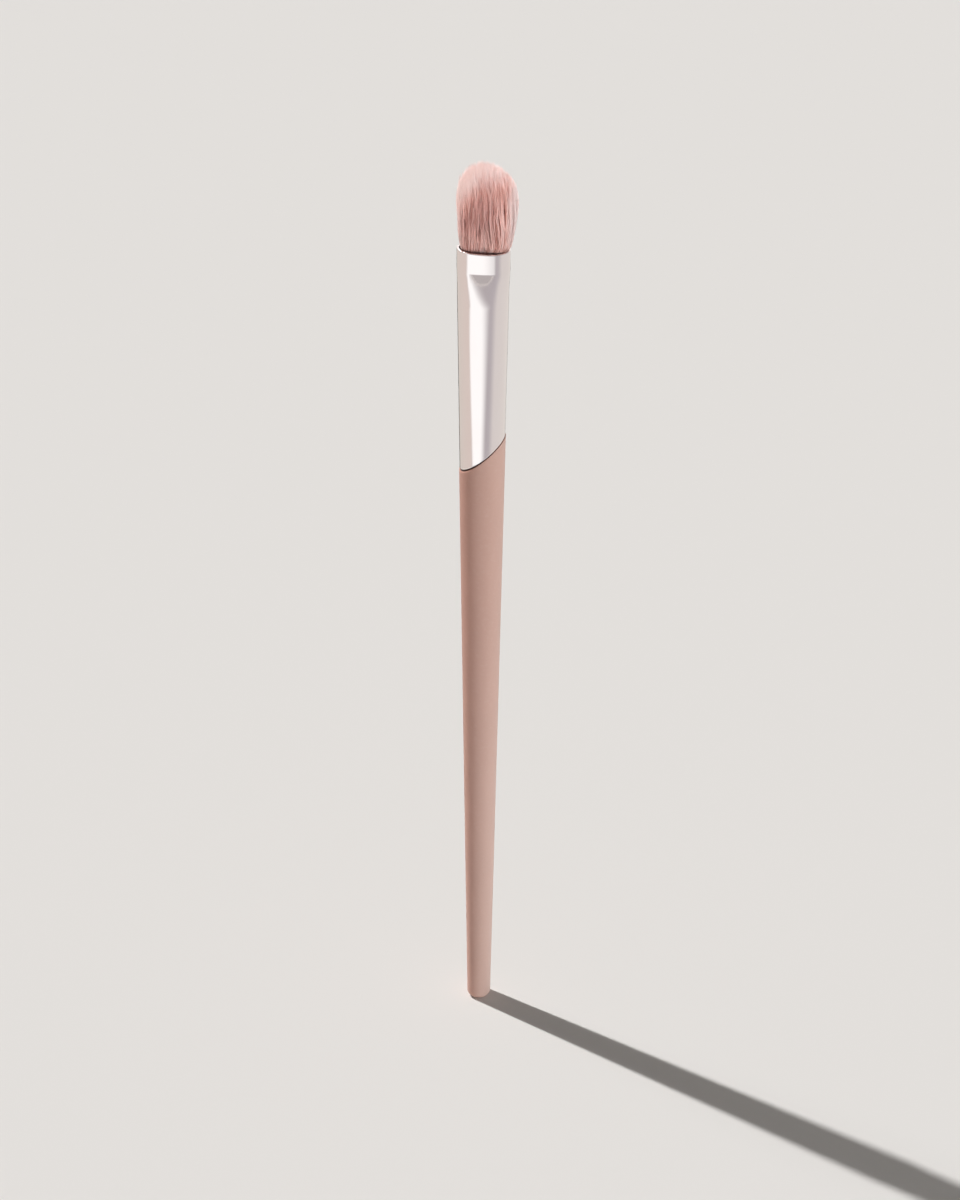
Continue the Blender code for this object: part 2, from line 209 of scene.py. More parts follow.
# painted shade on the fibres in the ferrule's mouth
FIBRE_MOUTH_PAINTED_SHADE = (0.10, 0.035, 0.03)
GLUE_DEEP = (0.24, 0.10, 0.085)
GLUE_PALE = (0.42, 0.20, 0.17)
RESIN_DEEP = (0.66, 0.56, 0.40)
RESIN_PALE = (0.80, 0.74, 0.62)
RESIN_BUBBLE = (0.90, 0.87, 0.80)
THREAD_DEEP = (0.66, 0.61, 0.53)
THREAD_PALE = (0.86, 0.83, 0.77)

rng = np.random.default_rng(41)


def mix(start, end, share):
    return start + (end - start) * share


def ease_out(share):
    return 1 - (1 - share) ** 2


def smooth(share):
    share = np.clip(share, 0, 1)
    return share * share * (3 - 2 * share)


# Finishes
class Wire:
    """A socket with arithmetic: an expression on wires adds the Math nodes that it needs."""

    def __init__(self, bench, socket):
        self.bench = bench
        self.socket = socket

    def __add__(self, other):
        return self.bench.maths("ADD", self, other)

    def __sub__(self, other):
        return self.bench.maths("SUBTRACT", self, other)

    def __rsub__(self, other):
        return self.bench.maths("SUBTRACT", other, self)

    def __mul__(self, other):
        return self.bench.maths("MULTIPLY", self, other)

    def __truediv__(self, other):
        return self.bench.maths("DIVIDE", self, other)

    __radd__ = __add__
    __rmul__ = __mul__


class FinishBench:
    """Builds one finish: nodes, their settings and what feeds them."""

    def __init__(self, name):
        self.material = bpy.data.materials.new(name)
        self.material.use_nodes = True
        self.tree = self.material.node_tree
        self.surface = self.tree.nodes["Principled BSDF"]

    def feed(self, socket, value):
        if isinstance(value, Wire):
            self.tree.links.new(value.socket, socket)
        else:
            socket.default_value = value

    def node(self, kind, settings=None, feeds=None, out=0):
        """Adds a node with its settings first, then what feeds its sockets; gives one output."""
        made = self.tree.nodes.new(kind)
        for name, value in (settings or {}).items():
            if name == "stops":
                self.set_stops(made.color_ramp, value)
            else:
                setattr(made, name, value)
        for key, value in (feeds or {}).items():
            self.feed(made.inputs[key], value)
        return Wire(self, made.outputs[out])

    @staticmethod
    def set_stops(ramp, stops):
        while len(ramp.elements) < len(stops):
            ramp.elements.new(0.5)
        for element, (place, colour) in zip(ramp.elements, stops):
            element.position = place
            element.color = (*colour, 1)

    def maths(self, operation, *values):
        return self.node("ShaderNodeMath", {"operation": operation}, dict(enumerate(values)))

    def above(self, value, least):
        """The value, or least where the value is lower."""
        return self.maths("MAXIMUM", value, least)

    def below(self, value, most):
        """The value, or most where the value is higher."""
        return self.maths("MINIMUM", value, most)

    def distance(self, first, second):
        return self.maths("SQRT", first * first + second * second)

    def rise(self, value, low, high):
        """0 below low, 1 above high and smooth between."""
        settings = {"interpolation_type": "SMOOTHSTEP"}
        return self.node("ShaderNodeMapRange", settings, {0: value, 1: low, 2: high})

    def fall(self, value, low, high):
        return 1 - self.rise(value, low, high)

    def blend(self, share, first, second):
        feeds = {0: share, 6: (*first, 1) if isinstance(first, tuple) else first}
        feeds[7] = (*second, 1) if isinstance(second, tuple) else second
        return self.node("ShaderNodeMix", {"data_type": "RGBA"}, feeds, out=2)

    def layered(self, tone, *layers):
        """Lays each (share, tone) over the ones before it."""
        for share, laid in layers:
            tone = self.blend(share, tone, laid)
        return tone

    def place(self):
        return self.node("ShaderNodeTexCoord", out="Object")

    def stretched(self, scale):
        """Object coordinates in millimetres, scaled along each axis."""
        return self.node("ShaderNodeMapping", None, {0: self.place(), 3: [s / MM for s in scale]})

    def noise(self, scale, detail=3.0):
        feeds = {0: self.stretched(scale), "Scale": 1.0, "Detail": detail}
        return self.node("ShaderNodeTexNoise", None, feeds)

    def part_of_place(self, axis):
        return self.node("ShaderNodeSeparateXYZ", None, {0: self.place()}, out=axis)

    def over_slant(self, slant):
        """Height over a slanted plane through the shoulder's middle, square to it."""
        height, across = self.part_of_place("Z"), self.part_of_place("X")
        level = height * math.cos(slant) - across * math.sin(slant)
        return level - SHOULDER_HEIGHT * math.cos(slant)

    def attribute(self, name):
        return self.node("ShaderNodeAttribute", {"attribute_name": name}, out="Fac")

    def bump(self, height, distance, strength=1.0):
        feeds = {"Height": height, "Distance": distance, "Strength": strength}
        return self.node("ShaderNodeBump", None, feeds)

    def set(self, **feeds):
        for name, value in feeds.items():
            self.feed(self.surface.inputs[name.replace("_", " ")], value)
        return self.material

    def glow(self, tone):
        """Gives off its tone and takes no light."""
        self.tree.nodes.remove(self.surface)
        light = self.node("ShaderNodeEmission", None, {"Color": tone, "Strength": 1.0})
        self.feed(self.tree.nodes["Material Output"].inputs["Surface"], light)
        return self.material


def lacquer():
    """Satin lacquer, sprayed: a very fine orange peel, slightly uneven gloss, and a paler tone by
    the foot that is painted light from the floor.

    The shoulder's cut face and the tenon over it are painted dark: painted shade in the gap under
    the ferrule.
    """
    bench = FinishBench("satin_lacquer")
    cloud = bench.noise((0.12, 0.12, 0.05))
    grain = bench.noise((1.6, 1.6, 1.6), 4.0)
    peel = bench.noise((2.2, 2.2, 1.8), 2.0)
    off_axis = bench.distance(bench.part_of_place("X"), bench.part_of_place("Y"))
    inside = bench.fall(off_axis, 3.66 * MM, 3.80 * MM)
    # painted shade on the shoulder's cut face and the tenon, inside the ferrule's gap
    gap_shade = bench.rise(bench.over_slant(SHOULDER_SLANT), -0.05 * MM, -0.01 * MM)
    tone = bench.layered(
        bench.blend(cloud, LACQUER_DEEP, LACQUER_PALE),
        (bench.node("ShaderNodeClamp", None, {0: (grain - 0.5) * 0.5}), LACQUER_GRAIN),
        # painted light: paler towards the foot, as if lit from the floor
        (bench.fall(bench.part_of_place("Z"), 0.0, 0.11) * 0.32, LACQUER_PAINTED_FLOOR_LIGHT),
        (gap_shade * inside, GAP_PAINTED_SHADE),
    )
    return bench.set(
        Base_Color=tone,
        Roughness=0.38 + cloud * 0.08 + grain * 0.05,
        IOR=1.46,
        Normal=bench.bump(peel, 0.004 * MM, 0.5),
    )


def rose_metal():
    """Thin aluminium, polished and tinted: draw lines along the tube, wear at its mouth, and a
    paler tone along its cut that is a painted highlight.
    """
    bench = FinishBench("polished_rose_metal")
    lines = bench.noise((9.0, 9.0, 0.05))
    cloud = bench.noise((0.3, 0.3, 0.12))
    specks = bench.noise((2.5, 2.5, 2.5), 5.0)
    over_cut = bench.over_slant(FERRULE_SLANT) - FERRULE_GAP
    to_mouth = (MOUTH_HEIGHT - 0.14 * MM, MOUTH_HEIGHT - 0.02 * MM)
    near_mouth = bench.rise(bench.part_of_place("Z"), *to_mouth)
    tone = bench.layered(
        bench.blend(cloud, METAL_DEEP, METAL_PALE),
        (bench.rise(specks, 0.66, 0.8) * 0.5, METAL_SPECK),
        # painted highlight: a paler tone along the cut edge
        (bench.fall(over_cut, 0.12 * MM, 0.24 * MM), METAL_CUT_PAINTED_HIGHLIGHT),
    )
    return bench.set(
        Base_Color=tone,
        Metallic=1.0,
        Roughness=0.075 + cloud * 0.04 + lines * 0.03 + near_mouth * 0.1,
        Normal=bench.bump(lines, 0.0012 * MM, 0.4),
    )


def fibre_finish():
    """Synthetic hair, with light and shade painted into its tone for the light that real hair lets
    through: painted shade deeper between locks and in the mouth, painted light paler low down, over
    the dome and at the sides, painted highlights on the tips.

    Heights are in mm over the mouth, and places across are in mm from the head's leaning middle.
    """
    bench = FinishBench("pink_fibre")
    along, reach, shade = (bench.attribute(name) for name in ("along", "reach", "shade"))
    over_mouth = bench.part_of_place("Z") / MM - MOUTH_HEIGHT / MM
    lean, belly = 0.4, 8.1
    across = bench.part_of_place("X") / MM - lean
    # a lit copy of the fibre's tone, laid on below as painted light
    lit = bench.blend(shade, FIBRE_LIT_DARK, FIBRE_LIT_PALE)
    near_axis = bench.fall(bench.maths("ABSOLUTE", across + lean), 1.0, 3.2)
    near_belly = bench.fall(bench.maths("ABSOLUTE", over_mouth - belly), 1.2, 4.0)
    side = bench.rise(bench.maths("ABSOLUTE", across), 3.2, 5.3)
    low_right = bench.fall(over_mouth, 1.2, 3.8) * bench.rise(across, -2.6, 1.6)
    up_left = over_mouth + bench.above(-0.5 - across, 0.0) * 1.15
    tone = bench.layered(
        bench.blend(shade, FIBRE_DARK, FIBRE_PALE),
        (bench.fall(reach, 0.80, 0.97) * 0.4, FIBRE_PAINTED_SHADE),  # painted shade inside the head
        (bench.fall(over_mouth, 0.8, 5.5) * 0.45, lit),  # painted light from the floor, low down
        # painted light low on the right
        (low_right * 0.5, lit),
        (bench.rise(across, 0.3, 3.5) * 0.62, lit),  # painted light on the right half
        # painted shade in the middle of the belly
        (near_axis * near_belly * 0.3, FIBRE_PAINTED_SHADE),
        # painted light high on the dome and over its left side
        (bench.rise(up_left, 9.4, 14.0) * 0.72, lit),
        # painted light at both sides
        (side * (0.68 + bench.rise(over_mouth, 8.0, 12.0) * 0.14), FIBRE_SIDE_PAINTED_LIGHT),
        # painted highlights on the tips
        (bench.rise(along, 0.9, 1.0) * 0.2, FIBRE_TIP_PAINTED_HIGHLIGHT),
        # painted light over the crown
        (bench.rise(up_left, 12.0, 16.2) * 0.92, FIBRE_CROWN_PAINTED_LIGHT),
        # painted shade in the mouth
        (bench.fall(over_mouth, -0.2, 0.25) * 0.85, FIBRE_MOUTH_PAINTED_SHADE),
    )
    return bench.set(Base_Color=tone, Roughness=0.46 + shade * 0.12, Specular_IOR_Level=0.4)


def glue_finish():
    """Fibre ends soaked with resin."""
    bench = FinishBench("soaked_fibre")
    streak = bench.noise((9.0, 9.0, 0.4))
    return bench.set(
        Base_Color=bench.blend(streak, GLUE_DEEP, GLUE_PALE),
        Roughness=0.35 + streak * 0.2,
        Normal=bench.bump(streak, 0.02 * MM),
    )


def resin_finish():
    """Set resin with a cloudy body and small bubbles."""
    bench = FinishBench("set_resin")
    cloud = bench.noise((0.6, 0.6, 0.6))
    feeds = {0: bench.stretched((2.4, 2.4, 2.4)), "Scale": 1.0}
    bubbles = bench.node("ShaderNodeTexVoronoi", None, feeds)
    body = bench.blend(cloud, RESIN_DEEP, RESIN_PALE)
    return bench.set(
        Base_Color=bench.blend(bench.fall(bubbles, 0.06, 0.2), body, RESIN_BUBBLE),
        Roughness=0.16 + cloud * 0.12,
        Normal=bench.bump(bubbles, 0.02 * MM),
    )


def thread_finish():
    """Twisted cotton: slanted plies round the ring."""
    bench = FinishBench("cotton_thread")
    plies = bench.node(
        "ShaderNodeTexWave",
        {"wave_type": "BANDS", "bands_direction": "DIAGONAL"},
        {0: bench.stretched((1, 1, 1)), "Scale": 1.4, "Distortion": 1.5, "Detail": 2.0},
    )
    return bench.set(
        Base_Color=bench.blend(plies, THREAD_DEEP, THREAD_PALE),
        Roughness=0.8 + bench.noise((6, 6, 6)) * 0.15,
        Normal=bench.bump(plies, 0.05 * MM),
    )


# Work at the bench: selecting, cutting and finishing a piece
def put_down():
    bpy.ops.object.select_all(action="DESELECT")


def take_up(piece):
    put_down()
    piece.select_set(True)
    bpy.context.view_layer.objects.active = piece


def newest(name):
    piece = bpy.context.object
    piece.name = name
    piece.data.name = name
    return piece


def set_in_place(piece):
    """Moves the piece's place and size into its mesh."""
    take_up(piece)
    bpy.ops.object.transform_apply(location=True, rotation=True, scale=True)


def work_on(piece):
    take_up(piece)
    bpy.ops.object.mode_set(mode="EDIT")


def stop_work():
    bpy.ops.object.mode_set(mode="OBJECT")


def pick(piece, kind, wanted):
    """Selects the corners, edges or faces of the piece in edit mode that wanted says yes to."""
    bpy.ops.mesh.select_mode(type=kind)
    bpy.ops.mesh.select_all(action="DESELECT")
    shape = bmesh.from_edit_mesh(piece.data)
    for part in {"VERT": shape.verts, "EDGE": shape.edges, "FACE": shape.faces}[kind]:
        if wanted(part):
            part.select_set(True)
    bmesh.update_edit_mesh(piece.data)


def cut(point, normal, **settings):
    """Cuts the whole piece in edit mode along a plane."""
    bpy.ops.mesh.select_mode(type="VERT")
    bpy.ops.mesh.select_all(action="SELECT")
    bpy.ops.mesh.bisect(plane_co=point, plane_no=normal, **settings)


def round_off(offset, segments):
    bpy.ops.mesh.bevel(offset=offset, segments=segments, affect="EDGES")


def apply_modifier(piece, kind, **settings):
    take_up(piece)
    step = piece.modifiers.new("work", kind)
    for name, value in settings.items():
        setattr(step, name, value)
    bpy.ops.object.modifier_apply(modifier=step.name)


def give_finish(piece, finish):
    piece.data.materials.clear()
    piece.data.materials.append(finish)


def tell_frame(piece, stands_for):
    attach(piece, BODY)
    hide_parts(stands_for)


def finish_piece(piece, finish, stands_for):
    """Places the piece's mesh, shades it, gives it its finish, attaches it to the body and hides
    the frame's part that it stands for.
    """
    set_in_place(piece)
    bpy.ops.object.shade_smooth_by_angle(angle=SMOOTH_BELOW)
    give_finish(piece, finish)
    tell_frame(piece, stands_for)


def slant_normal(slant):
    return Vector((-math.sin(slant), 0, math.cos(slant)))


def over_slant(point, slant):
    """Height over a slanted plane through the shoulder's middle, square to it."""
    return (point - SHOULDER_MIDDLE).dot(slant_normal(slant))


# Handle
def on_foot_edge(edge):
    return all(corner.co.z < PICKING_SLACK for corner in edge.verts)


def on_shoulder_edge(edge):
    return all(abs(over_slant(corner.co, SHOULDER_SLANT)) < PICKING_SLACK for corner in edge.verts)


def faces_up(face):
    return face.normal.z > 0.9


def turn_handle():
    """The tapered body with its rounded foot and slanted shoulder, and the tenon over it."""
    put_down()
    top = SHOULDER_HIGH + CUT_OVERRUN
    bpy.ops.mesh.primitive_cone_add(
        vertices=HANDLE_SIDES,
        radius1=FOOT_RADIUS,
        radius2=mix(FOOT_RADIUS, SHOULDER_RADIUS, top / SHOULDER_HEIGHT),
        depth=top,
        end_fill_type="NGON",
        location=(0, 0, top / 2),
    )
    handle = newest("handle_body")
    set_in_place(handle)
    work_on(handle)
    shoulder = slant_normal(SHOULDER_SLANT)
    cut(SHOULDER_MIDDLE, shoulder, use_fill=True, clear_outer=True)
    cut((0, 0, FOOT_ROUNDING + HOLDING_LOOP), UP)
    cut(SHOULDER_MIDDLE - shoulder * HOLDING_LOOP, shoulder)
    pick(handle, "EDGE", on_foot_edge)
    round_off(FOOT_ROUNDING, FOOT_SEGMENTS)
    pick(handle, "EDGE", on_shoulder_edge)
    round_off(SHOULDER_EDGE, 3)
    stop_work()
    tenon = turn_tenon()
    apply_modifier(handle, "BOOLEAN", operation="UNION", object=tenon, solver="EXACT")
    bpy.data.objects.remove(tenon, do_unlink=True)
    finish_piece(handle, lacquer(), "handle")


def turn_tenon():
    put_down()
    foot = SHOULDER_LOW - CUT_OVERRUN
    bpy.ops.mesh.primitive_cone_add(
        vertices=HANDLE_SIDES // 2,
        radius1=TENON_FOOT_RADIUS,
        radius2=TENON_TOP_RADIUS,
        depth=TENON_TOP - foot,
        end_fill_type="NGON",
        location=(0, 0, (TENON_TOP + foot) / 2),
    )
    tenon = newest("tenon_blank")
    work_on(tenon)
    pick(tenon, "FACE", faces_up)
    round_off(TENON_CHAMFER, 2)
    stop_work()
    return tenon


# Ferrule
def mouth_quarter():
    """Quarter of the pressed mouth's outline, from its side to its front.

    Gives the share of its length, the place across and the place along, as arrays. The front is
    pressed almost flat, with a slight crown, and bends quickly on each side of it.
    """
    across = MOUTH_HALF_WIDTH * np.sin(np.linspace(0, math.pi / 2, QUARTER_POINTS))
    sines = np.sin(np.radians(PRESSED_TURNS))
    lean = np.minimum(np.interp(across / MM, PRESSED_PLACES, sines), STEEPEST)
    slope = lean / np.sqrt(1 - lean**2)
    drop = np.append(0, np.cumsum((slope[1:] + slope[:-1]) / 2 * np.diff(across)))
    along = MOUTH_HALF_DEPTH * (1 - drop / drop[-1])
    across, along = across[::-1], along[::-1]
    length = np.append(0, np.cumsum(np.hypot(np.diff(across), np.diff(along))))
    return length / length[-1], across, along


def pressed_point(turn, height):
    """Where a point of the round tube goes when the mouth is pressed: across, along, as arrays."""
    share, across, along = mouth_quarter()
    quarter = np.arctan2(np.abs(np.sin(turn)), np.abs(np.cos(turn))) / (math.pi / 2)
    mouth_x = np.interp(quarter, share, across)
    mouth_y = np.interp(quarter, share, along)
    down = ease_out(np.clip((CRIMP_HEIGHT - height) / (CRIMP_HEIGHT - FUNNEL_FOOT), 0, 1))
    low = np.minimum((height - SHOULDER_HEIGHT) / (FUNNEL_FOOT - SHOULDER_HEIGHT), 1)
    tube_x = mix(FERRULE_FOOT_RADIUS, FUNNEL_HALF_WIDTH, low) * np.abs(np.cos(turn))
    tube_y = mix(FERRULE_FOOT_RADIUS, FUNNEL_HALF_DEPTH, low) * np.abs(np.sin(turn))
    x = mix(mouth_x, tube_x, down) * np.sign(np.cos(turn)) + MOUTH_SHIFT * (1 - down)
    y = mix(mouth_y, tube_y, down) * np.sign(np.sin(turn))
    return x, y


def ferrule_heights():
    """Heights at which rings are cut into the tube, from over the shoulder up to the lip."""
    tube = [mix(SHOULDER_HEIGHT, FUNNEL_FOOT, step / TUBE_RINGS) for step in range(1, TUBE_RINGS)]
    funnel = [mix(FUNNEL_FOOT, CRIMP_HEIGHT, step / FUNNEL_RINGS) for step in range(FUNNEL_RINGS)]
    near_crimp = [CRIMP_HEIGHT + offset * MM for offset in CRIMP_RINGS]
    band = [mix(CRIMP_HEIGHT, MOUTH_HEIGHT, share) for share in BAND_RINGS]
    return tube + funnel + near_crimp + band + [MOUTH_HEIGHT - LIP_ROUNDING - LIP_LOOP]


def press_mouth(ferrule):
    mesh = ferrule.data
    spots = np.empty(len(mesh.vertices) * 3)
    mesh.vertices.foreach_get("co", spots)
    spots = spots.reshape(-1, 3)
    turn = np.arctan2(spots[:, 1], spots[:, 0])
    spots[:, 0], spots[:, 1] = pressed_point(turn, spots[:, 2])
    mesh.vertices.foreach_set("co", spots.ravel())
    mesh.update()


def on_mouth_edge(edge):
    if any(corner.co.z < MOUTH_HEIGHT - PICKING_SLACK for corner in edge.verts):
        return False
    return any(face.normal.z < 0.5 for face in edge.link_faces)


def on_cut_edge(edge):
    """True where the slanted cut meets the wall."""
    gap = FERRULE_GAP + PICKING_SLACK
    if any(over_slant(corner.co, FERRULE_SLANT) > gap for corner in edge.verts):
        return False
    down = -slant_normal(FERRULE_SLANT)
    return len({face.normal.dot(down) > 0.9 for face in edge.link_faces}) == 2


def press_ferrule():
    """A round tube with rings cut in, pressed at the mouth, then its wall, slanted end and lip."""
    put_down()
    foot = SHOULDER_LOW - CUT_OVERRUN
    bpy.ops.mesh.primitive_cylinder_add(
        vertices=FERRULE_SIDES,
        radius=FERRULE_FOOT_RADIUS,
        depth=MOUTH_HEIGHT - foot,
        end_fill_type="NOTHING",
        location=(0, 0, (MOUTH_HEIGHT + foot) / 2),
    )
    ferrule = newest("ferrule_tube")
    set_in_place(ferrule)
    work_on(ferrule)
    for height in ferrule_heights():
        cut((0, 0, height), UP)
    stop_work()
    press_mouth(ferrule)
    apply_modifier(ferrule, "SOLIDIFY", thickness=FERRULE_WALL, offset=-1, use_even_offset=True)
    work_on(ferrule)
    slanted = slant_normal(FERRULE_SLANT)
    cut_point = SHOULDER_MIDDLE + slanted * FERRULE_GAP
    cut(cut_point, slanted, use_fill=True, clear_inner=True)
    cut(cut_point + slanted * HOLDING_LOOP, slanted)
    pick(ferrule, "EDGE", on_mouth_edge)
    round_off(LIP_ROUNDING, 3)
    pick(ferrule, "EDGE", on_cut_edge)
    round_off(CUT_EDGE, 2)
    stop_work()
    finish_piece(ferrule, rose_metal(), "ferrule")


# Head
def make_glued_root():
    """The fibres' soaked ends: a rounded block in the mouth with a waist at the thread."""
    put_down()
    bpy.ops.mesh.primitive_cylinder_add(
        vertices=ROOT_SIDES, radius=1, depth=1, end_fill_type="NGON", location=(0, 0, 0)
    )
    root = newest("glued_root")
    bpy.ops.transform.resize(value=(ROOT_HALF_WIDTH, ROOT_HALF_DEPTH, ROOT_TOP - ROOT_FOOT))
    bpy.ops.transform.translate(value=(0, 0, (ROOT_TOP + ROOT_FOOT) / 2))
    set_in_place(root)
    work_on(root)
    for height in (ROOT_WAIST_TOP, CRIMP_HEIGHT):
        cut((0, 0, height), UP)
    pick(root, "VERT", lambda corner: corner.co.z > CRIMP_HEIGHT - PICKING_SLACK)
    wider = ROOT_TOP_HALF_WIDTH / ROOT_HALF_WIDTH
    flatter = ROOT_TOP_HALF_DEPTH / ROOT_HALF_DEPTH
    bpy.ops.transform.resize(value=(wider, flatter, 1), center_override=(0, 0, ROOT_TOP))
    pick(root, "FACE", faces_up)
    bpy.ops.mesh.inset(thickness=ROOT_RIM)
    bpy.ops.transform.translate(value=(0, 0, ROOT_CROWN))
    stop_work()
    finish_piece(root, glue_finish(), "bristle_tuft")


def head_outline(height):
    """Half width, half depth and corner power of the head at a height, as arrays."""
    over = (height - MOUTH_HEIGHT) / MM
    half_width = np.interp(over, HEAD_HEIGHTS, HEAD_HALF_WIDTHS) * MM
    half_depth = np.interp(over, HEAD_HEIGHTS, HEAD_HALF_DEPTHS) * MM
    return half_width, half_depth, np.interp(over, CORNER_HEIGHTS, CORNER_POWERS)


def head_shift(height):
    """The head leans and is a little fuller to its +X side."""
    return np.interp((height - MOUTH_HEIGHT) / MM, HEAD_HEIGHTS, HEAD_LEANS) * MM


def in_head(disc_x, disc_y, height):
    """Carries a point of the unit disc up into the head at a height."""
    reach = np.hypot(disc_x, disc_y)
    turn = np.arctan2(disc_y, disc_x)
    half_width, half_depth, power = head_outline(height)
    x = half_width * reach * np.sign(np.cos(turn)) * np.abs(np.cos(turn)) ** (2 / power)
    y = half_depth * reach * np.sign(np.sin(turn)) * np.abs(np.sin(turn)) ** (2 / power)
    return x + head_shift(height), y


def spread_on_disc(count, jitter):
    index = np.arange(count) + 0.5
    reach = np.sqrt(index / count) + rng.normal(0, jitter, count)
    turn = index * GOLDEN_TURN + rng.normal(0, jitter, count)
    reach = np.clip(reach, 0, 1)
    return reach * np.cos(turn), reach * np.sin(turn)


def nearest(x, y, middle_x, middle_y):
    gap = (x[:, None] - middle_x[None, :]) ** 2 + (y[:, None] - middle_y[None, :]) ** 2
    return gap.argmin(1)


def wander(share, count, strength, low, high):
    """A slow sideways wave along each of count spines, nothing at the root."""
    turn = rng.uniform(0, math.tau, (count, 1))
    start = rng.uniform(0, math.tau, (count, 1))
    waves = rng.uniform(low, high, (count, 1))
    size = strength * rng.normal(1, SWING_SPREAD, (count, 1)) * smooth(share / SWING_BY)
    swing = size * np.sin(share * waves + start)
    return swing * np.cos(turn), swing * np.sin(turn)


def streaks(share):
    """Lighter and darker lengths along each lock."""
    start = rng.uniform(0, math.tau, (LOCKS, 1))
    waves = rng.uniform(*STREAK_WAVES, (LOCKS, 1))
    return STREAK_TONE * np.sin(share * waves + start)


def fibre_tops(reach, outer, lock, wisp):
    """Height at which each fibre ends, near the dome and uneven by wisp, lock and fibre."""
    dome = (1 - np.clip(reach, 0, 1) ** DOME_POWER) ** (1 / DOME_POWER)
    top = mix(MOUTH_HEIGHT + BELLY_HEIGHT, MOUTH_HEIGHT + HEAD_LENGTH, dome)
    stagger = rng.normal(0, WISP_STAGGER, WISPS)[wisp] + rng.normal(0, LOCK_STAGGER, LOCKS)[lock]
    stagger = stagger * mix(INNER_STAGGER, 1.0, outer)
    return top + (stagger + rng.normal(0, FIBRE_STAGGER, FIBRES)) * MM


def fibre_tones(reach, share, lock, wisp):
    """Tone along each fibre, 0 to 1, and which fibres are strays. Strays are the palest."""
    tone = rng.choice(LOCK_TONES, LOCKS, p=LOCK_CHANCES)[lock]
    tone = tone + rng.normal(0, WISP_TONE_SPREAD, WISPS)[wisp]
    tone = tone + rng.normal(0, FIBRE_TONE_SPREAD, FIBRES)
    stray = (rng.random(FIBRES) < STRAYS) & (reach > STRAY_REACH)
    return np.clip(tone[:, None] + streaks(share)[lock] + stray[:, None], 0, 1), stray


def grow_fibres():
    """Roots on a disc, gathered into fine locks and the locks into wisps, carried into the head."""
    x, y = spread_on_disc(FIBRES, FIBRE_JITTER)
    lock_x, lock_y = spread_on_disc(LOCKS, LOCK_JITTER)
    wisp_x, wisp_y = spread_on_disc(WISPS, WISP_JITTER)
    lock = nearest(x, y, lock_x, lock_y)
    wisp = nearest(lock_x, lock_y, wisp_x, wisp_y)[lock]
    reach = np.hypot(x, y)
    outer = smooth((reach - OUTER_FROM) / OUTER_OVER)
    share = np.linspace(0, 1, FIBRE_RINGS + 1)[None, :]
    top = fibre_tops(reach, outer, lock, wisp)
    tone, stray = fibre_tones(reach, share, lock, wisp)
    height = mix(FIBRE_FOOT, top[:, None], share)
    to_lock = mix(*TO_LOCK, rng.uniform(0, 1, LOCKS))[lock][:, None] * smooth(share / LOCK_BY)
    to_lock = np.where(stray[:, None], STRAY_WAY, to_lock)
    to_wisp = mix(*TO_WISP, outer)[:, None] * smooth((share - WISP_FROM) / WISP_OVER)
    middle_x = mix(lock_x[lock][:, None], wisp_x[wisp][:, None], to_wisp)
    middle_y = mix(lock_y[lock][:, None], wisp_y[wisp][:, None], to_wisp)
    disc_x = mix(x[:, None], middle_x, to_lock)
    disc_y = mix(y[:, None], middle_y, to_lock)
    for count, member, swing in (
        (WISPS, wisp, WISP_SWING),
        (LOCKS, lock, LOCK_SWING),
        (FIBRES, np.arange(FIBRES), FIBRE_SWING),
    ):
        swing_x, swing_y = wander(share, count, *swing)
        disc_x = disc_x + swing_x[member]
        disc_y = disc_y + swing_y[member]
    kept = np.minimum(1, HEAD_REACH / np.maximum(np.hypot(disc_x, disc_y), 0.001))
    spine_x, spine_y = in_head(disc_x * kept, disc_y * kept, height)
    spine = np.stack([spine_x, spine_y, height], 2)
    thick = FIBRE_RADIUS * np.interp(share[0], THICKNESS_PLACES, THICKNESS)
    return spine, thick, reach, tone, share[0]


def fibre_faces(rings, each):
    """Corner numbers of one fibre's quads and triangles: its sides, its tip and its foot."""
    sides = [(side, (side + 1) % FIBRE_SIDES) for side in range(FIBRE_SIDES)]
    quads = []
    for ring in range(rings - 2):
        foot = ring * FIBRE_SIDES
        for side, ahead in sides:
            here, there = foot + side, foot + ahead
            quads.append((here, there, there + FIBRE_SIDES, here + FIBRE_SIDES))
    last = (rings - 2) * FIBRE_SIDES
    triangles = [(last + side, last + ahead, each - 1) for side, ahead in sides]
    triangles.append(tuple(reversed(range(FIBRE_SIDES))))
    return quads, triangles


